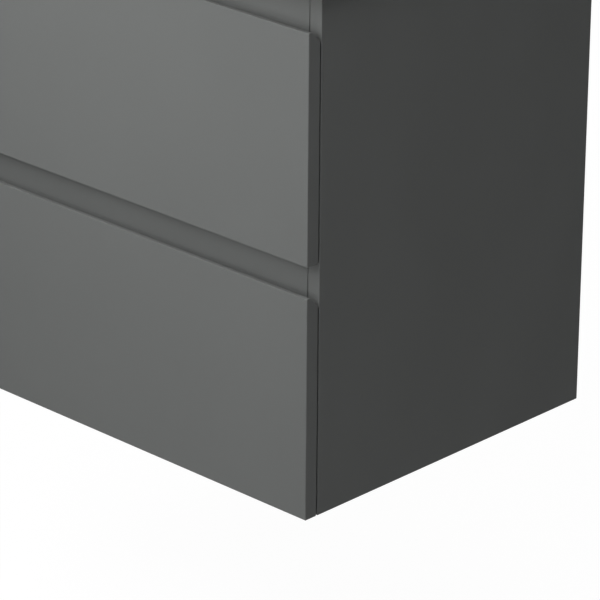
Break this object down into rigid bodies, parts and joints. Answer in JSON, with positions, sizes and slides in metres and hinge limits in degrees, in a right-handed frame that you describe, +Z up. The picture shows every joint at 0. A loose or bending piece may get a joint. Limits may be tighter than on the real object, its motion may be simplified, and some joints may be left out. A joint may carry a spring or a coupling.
{
  "type": "floating vanity",
  "caption": "Wall-hung bathroom vanity with plain bevelled handle-less drawer fronts, recessed finger grooves, telescopic runners and a ceramic basin on top.",
  "frame": {"origin": "on the wall plane, at the centre of the four wall bolts", "axes": "+X to the right of someone facing the front, +Y into the wall, +Z up; the drawers open along -Y"},
  "size_m": [0.82, 0.49, 0.65],
  "materials": {
    "lacquered_board": "matt dark grey lacquer on board",
    "carcass_board": "dark grey melamine on board",
    "drawer_board": "mid grey melamine on board",
    "beech": "raw beech",
    "ceramic": "glossy white glaze",
    "chrome_trim": "polished chrome",
    "housing_plastic": "moulded light grey plastic",
    "surround_plastic": "moulded mid grey plastic",
    "clear_rubber": "translucent soft buffer",
    "cage_steel": "thin bright steel",
    "zinc_steel": "zinc-plated steel sheet",
    "fastener_zinc": "zinc-plated"
  },
  "bodies": {
    "root": {"side_panel_left": "lacquered_board", "side_panel_right": "lacquered_board", "bottom_panel": "lacquered_board", "top_front_rail": "lacquered_board", "middle_rail": "lacquered_board", "top_back_rail": "carcass_board", "lower_back_rail": "carcass_board", "dowels": "beech", "cam_discs": "fastener_zinc", "cam_bolts": "fastener_zinc", "wall_rail": "zinc_steel", "hanger_left": "housing_plastic", "hanger_right": "housing_plastic", "hook_left": "zinc_steel", "hook_right": "zinc_steel", "hanger_screws": "fastener_zinc", "basin": "ceramic", "overflow_ring": "chrome_trim", "cabinet_slide_upper_left": "zinc_steel", "cabinet_slide_upper_right": "zinc_steel", "cabinet_slide_lower_left": "zinc_steel", "cabinet_slide_lower_right": "zinc_steel", "slide_screws": "fastener_zinc"},
    "upper_drawer": {"upper_front": "lacquered_board", "upper_side_left": "drawer_board", "upper_side_right": "drawer_board", "upper_bottom": "drawer_board", "upper_back_left": "drawer_board", "upper_back_right": "drawer_board", "trap_surround": "surround_plastic", "drawer_slide_upper_left": "zinc_steel", "drawer_slide_upper_right": "zinc_steel", "upper_brackets": "zinc_steel", "upper_screws": "fastener_zinc", "upper_buffers": "clear_rubber"},
    "lower_drawer": {"lower_front": "lacquered_board", "lower_side_left": "drawer_board", "lower_side_right": "drawer_board", "lower_bottom": "drawer_board", "lower_back": "drawer_board", "drawer_slide_lower_left": "zinc_steel", "drawer_slide_lower_right": "zinc_steel", "lower_brackets": "zinc_steel", "lower_screws": "fastener_zinc", "lower_buffers": "clear_rubber"},
    "upper_middle_left": {"middle_slide_upper_left": "zinc_steel"},
    "upper_outer_cage_left": {"outer_cage_upper_left": "cage_steel"},
    "upper_inner_cage_left": {"inner_cage_upper_left": "cage_steel"},
    "upper_middle_right": {"middle_slide_upper_right": "zinc_steel"},
    "upper_outer_cage_right": {"outer_cage_upper_right": "cage_steel"},
    "upper_inner_cage_right": {"inner_cage_upper_right": "cage_steel"},
    "lower_middle_left": {"middle_slide_lower_left": "zinc_steel"},
    "lower_outer_cage_left": {"outer_cage_lower_left": "cage_steel"},
    "lower_inner_cage_left": {"inner_cage_lower_left": "cage_steel"},
    "lower_middle_right": {"middle_slide_lower_right": "zinc_steel"},
    "lower_outer_cage_right": {"outer_cage_lower_right": "cage_steel"},
    "lower_inner_cage_right": {"inner_cage_lower_right": "cage_steel"}
  },
  "joints": [
    {"name": "upper_drawer_slide", "type": "slide", "parent": "root", "child": "upper_drawer", "axis": [0, -1, 0], "range_m": [0, 0.4]},
    {"name": "lower_drawer_slide", "type": "slide", "parent": "root", "child": "lower_drawer", "axis": [0, -1, 0], "range_m": [0, 0.4]},
    {"name": "upper_middle_left_slide", "type": "slide", "parent": "root", "child": "upper_middle_left", "axis": [0, -1, 0], "range_m": [0, 0.2]},
    {"name": "upper_outer_cage_left_slide", "type": "slide", "parent": "root", "child": "upper_outer_cage_left", "axis": [0, -1, 0], "range_m": [0, 0.1]},
    {"name": "upper_inner_cage_left_slide", "type": "slide", "parent": "root", "child": "upper_inner_cage_left", "axis": [0, -1, 0], "range_m": [0, 0.3]},
    {"name": "upper_middle_right_slide", "type": "slide", "parent": "root", "child": "upper_middle_right", "axis": [0, -1, 0], "range_m": [0, 0.2]},
    {"name": "upper_outer_cage_right_slide", "type": "slide", "parent": "root", "child": "upper_outer_cage_right", "axis": [0, -1, 0], "range_m": [0, 0.1]},
    {"name": "upper_inner_cage_right_slide", "type": "slide", "parent": "root", "child": "upper_inner_cage_right", "axis": [0, -1, 0], "range_m": [0, 0.3]},
    {"name": "lower_middle_left_slide", "type": "slide", "parent": "root", "child": "lower_middle_left", "axis": [0, -1, 0], "range_m": [0, 0.2]},
    {"name": "lower_outer_cage_left_slide", "type": "slide", "parent": "root", "child": "lower_outer_cage_left", "axis": [0, -1, 0], "range_m": [0, 0.1]},
    {"name": "lower_inner_cage_left_slide", "type": "slide", "parent": "root", "child": "lower_inner_cage_left", "axis": [0, -1, 0], "range_m": [0, 0.3]},
    {"name": "lower_middle_right_slide", "type": "slide", "parent": "root", "child": "lower_middle_right", "axis": [0, -1, 0], "range_m": [0, 0.2]},
    {"name": "lower_outer_cage_right_slide", "type": "slide", "parent": "root", "child": "lower_outer_cage_right", "axis": [0, -1, 0], "range_m": [0, 0.1]},
    {"name": "lower_inner_cage_right_slide", "type": "slide", "parent": "root", "child": "lower_inner_cage_right", "axis": [0, -1, 0], "range_m": [0, 0.3]}
  ],
  "couplings": [
    {"joint": "upper_middle_left_slide", "follows": "upper_drawer_slide", "ratio": 0.5},
    {"joint": "upper_outer_cage_left_slide", "follows": "upper_drawer_slide", "ratio": 0.25},
    {"joint": "upper_inner_cage_left_slide", "follows": "upper_drawer_slide", "ratio": 0.75},
    {"joint": "upper_middle_right_slide", "follows": "upper_drawer_slide", "ratio": 0.5},
    {"joint": "upper_outer_cage_right_slide", "follows": "upper_drawer_slide", "ratio": 0.25},
    {"joint": "upper_inner_cage_right_slide", "follows": "upper_drawer_slide", "ratio": 0.75},
    {"joint": "lower_middle_left_slide", "follows": "lower_drawer_slide", "ratio": 0.5},
    {"joint": "lower_outer_cage_left_slide", "follows": "lower_drawer_slide", "ratio": 0.25},
    {"joint": "lower_inner_cage_left_slide", "follows": "lower_drawer_slide", "ratio": 0.75},
    {"joint": "lower_middle_right_slide", "follows": "lower_drawer_slide", "ratio": 0.5},
    {"joint": "lower_outer_cage_right_slide", "follows": "lower_drawer_slide", "ratio": 0.25},
    {"joint": "lower_inner_cage_right_slide", "follows": "lower_drawer_slide", "ratio": 0.75}
  ]
}
